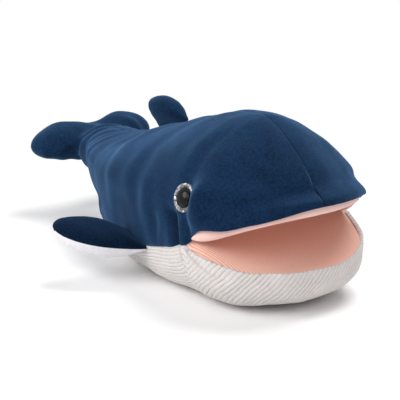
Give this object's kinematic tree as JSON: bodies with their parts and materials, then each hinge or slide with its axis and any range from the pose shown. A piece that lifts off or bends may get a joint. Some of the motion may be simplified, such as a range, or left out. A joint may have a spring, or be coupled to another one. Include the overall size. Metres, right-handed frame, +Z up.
{
  "type": "whale hand puppet",
  "caption": "Soft stuffed whale hand puppet with a hinged padded mouth, finger and thumb pockets, a hand sleeve, flapping side fins, a dorsal fin and tail flukes.",
  "frame": {"origin": "on the floor plane, at the middle of the belly's flat resting patch, 60 mm behind the mouth's fold", "axes": "+Z up; the head points along -Y and the tail along +Y; +X is the whale's left"},
  "size_m": [0.2622, 0.3873, 0.142],
  "materials": {
    "navy_plush": "short-pile plush",
    "white_rib": "ribbed plush",
    "white_plush": "short-pile plush",
    "pink_jersey": "fine twill knit",
    "lining_cloth": "plain woven cloth",
    "fibre_fill": "loose fibre",
    "stiff_foam": "thin foam board",
    "black_plastic": "polished",
    "silver_glitter": "silver glitter under clear plastic",
    "pale_plastic": "moulded"
  },
  "bodies": {
    "body": {"back_cover_left": "navy_plush", "back_cover_right": "navy_plush", "belly_panel": "white_rib", "throat_gusset": "white_rib", "upper_palate": "pink_jersey", "upper_palate_board": "stiff_foam", "mouth_fold": "pink_jersey", "finger_pocket": "lining_cloth", "head_stuffing": "fibre_fill", "sleeve_lining": "lining_cloth", "tail_stuffing": "fibre_fill", "opening_binding": "lining_cloth", "eye_pupil_left": "black_plastic", "eye_pupil_right": "black_plastic", "eye_ring_left": "silver_glitter", "eye_ring_right": "silver_glitter", "eye_washer_left": "pale_plastic", "eye_washer_right": "pale_plastic"},
    "jaw": {"jaw_cover": "white_rib", "lower_palate": "pink_jersey", "lower_palate_board": "stiff_foam", "thumb_pocket": "lining_cloth", "jaw_stuffing": "fibre_fill"},
    "pectoral_fin_left": {"pectoral_fin_top_left": "navy_plush", "pectoral_fin_underside_left": "white_plush", "pectoral_fin_stuffing_left": "fibre_fill"},
    "pectoral_fin_right": {"pectoral_fin_top_right": "navy_plush", "pectoral_fin_underside_right": "white_plush", "pectoral_fin_stuffing_right": "fibre_fill"},
    "dorsal_fin": {"dorsal_fin_right": "navy_plush", "dorsal_fin_left": "navy_plush", "dorsal_fin_stuffing": "fibre_fill"},
    "flukes": {"fluke_top": "navy_plush", "fluke_underside": "navy_plush", "fluke_stuffing": "fibre_fill"}
  },
  "joints": [
    {"name": "jaw_open", "type": "hinge", "parent": "body", "child": "jaw", "pos_m": [0, -0.06, 0.059], "axis": [1, 0, 0], "range_deg": [-31, 14], "stiffness_Nm_per_rad": 0.5, "deforming": ["throat_gusset"]},
    {"name": "fin_left_flap", "type": "hinge", "parent": "body", "child": "pectoral_fin_left", "pos_m": [0.07122, 0.02, 0.032], "axis": [0.0729, -0.9679, -0.2406], "range_deg": [-25, 40], "stiffness_Nm_per_rad": 0.15},
    {"name": "fin_right_flap", "type": "hinge", "parent": "body", "child": "pectoral_fin_right", "pos_m": [-0.07122, 0.02, 0.032], "axis": [0.0729, 0.9679, 0.2406], "range_deg": [-25, 40], "stiffness_Nm_per_rad": 0.15},
    {"name": "dorsal_fin_sway", "type": "hinge", "parent": "body", "child": "dorsal_fin", "pos_m": [0, 0.075, 0.10981], "axis": [0, 0.9528, -0.3035], "range_deg": [-30, 30], "stiffness_Nm_per_rad": 0.02},
    {"name": "tail_flap", "type": "hinge", "parent": "body", "child": "flukes", "pos_m": [0, 0.1983, 0.0665], "axis": [1, 0, 0], "range_deg": [-28, 26], "stiffness_Nm_per_rad": 0.25}
  ]
}
